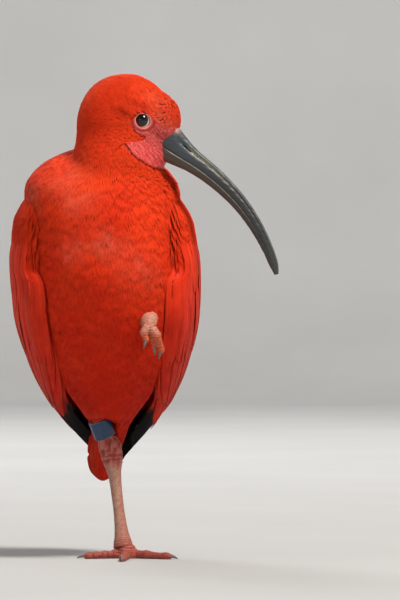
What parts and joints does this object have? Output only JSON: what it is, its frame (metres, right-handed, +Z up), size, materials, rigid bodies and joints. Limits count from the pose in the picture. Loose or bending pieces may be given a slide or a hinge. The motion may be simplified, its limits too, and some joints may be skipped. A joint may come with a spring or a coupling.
{
  "type": "scarlet ibis",
  "caption": "Life-size display model of a scarlet wading bird resting on one leg, neck drawn in, long bill curved down, wings folded and a plastic ring on its leg",
  "frame": {"origin": "the middle of the flat under the standing foot, on the ground", "axes": "+Z up from the ground through the bird, -Y the way its breast faces, +X its left side"},
  "size_m": [0.23, 0.1875, 0.4144],
  "materials": {
    "plumage": "soft overlapping feathers",
    "bare_skin": "matt scaly skin",
    "bill_horn": "satin grooved horn",
    "claw_horn": "satin horn",
    "eye": "wet gloss",
    "band_plastic": "satin moulded plastic"
  },
  "bodies": {
    "root": {"torso": "plumage", "neck": "plumage", "head": "plumage", "wing_left": "plumage", "wing_right": "plumage", "tail": "plumage", "eye_left": "eye", "eye_right": "eye", "bill_upper": "bill_horn", "bill_lower": "bill_horn", "leg_right": "bare_skin", "foot_right": "bare_skin", "foot_left": "bare_skin", "claw_right_inner": "claw_horn", "claw_right_middle": "claw_horn", "claw_right_outer": "claw_horn", "claw_right_hind": "claw_horn", "claw_left_inner": "claw_horn", "claw_left_middle": "claw_horn", "claw_left_outer": "claw_horn", "leg_band": "band_plastic"}
  },
  "joints": []
}
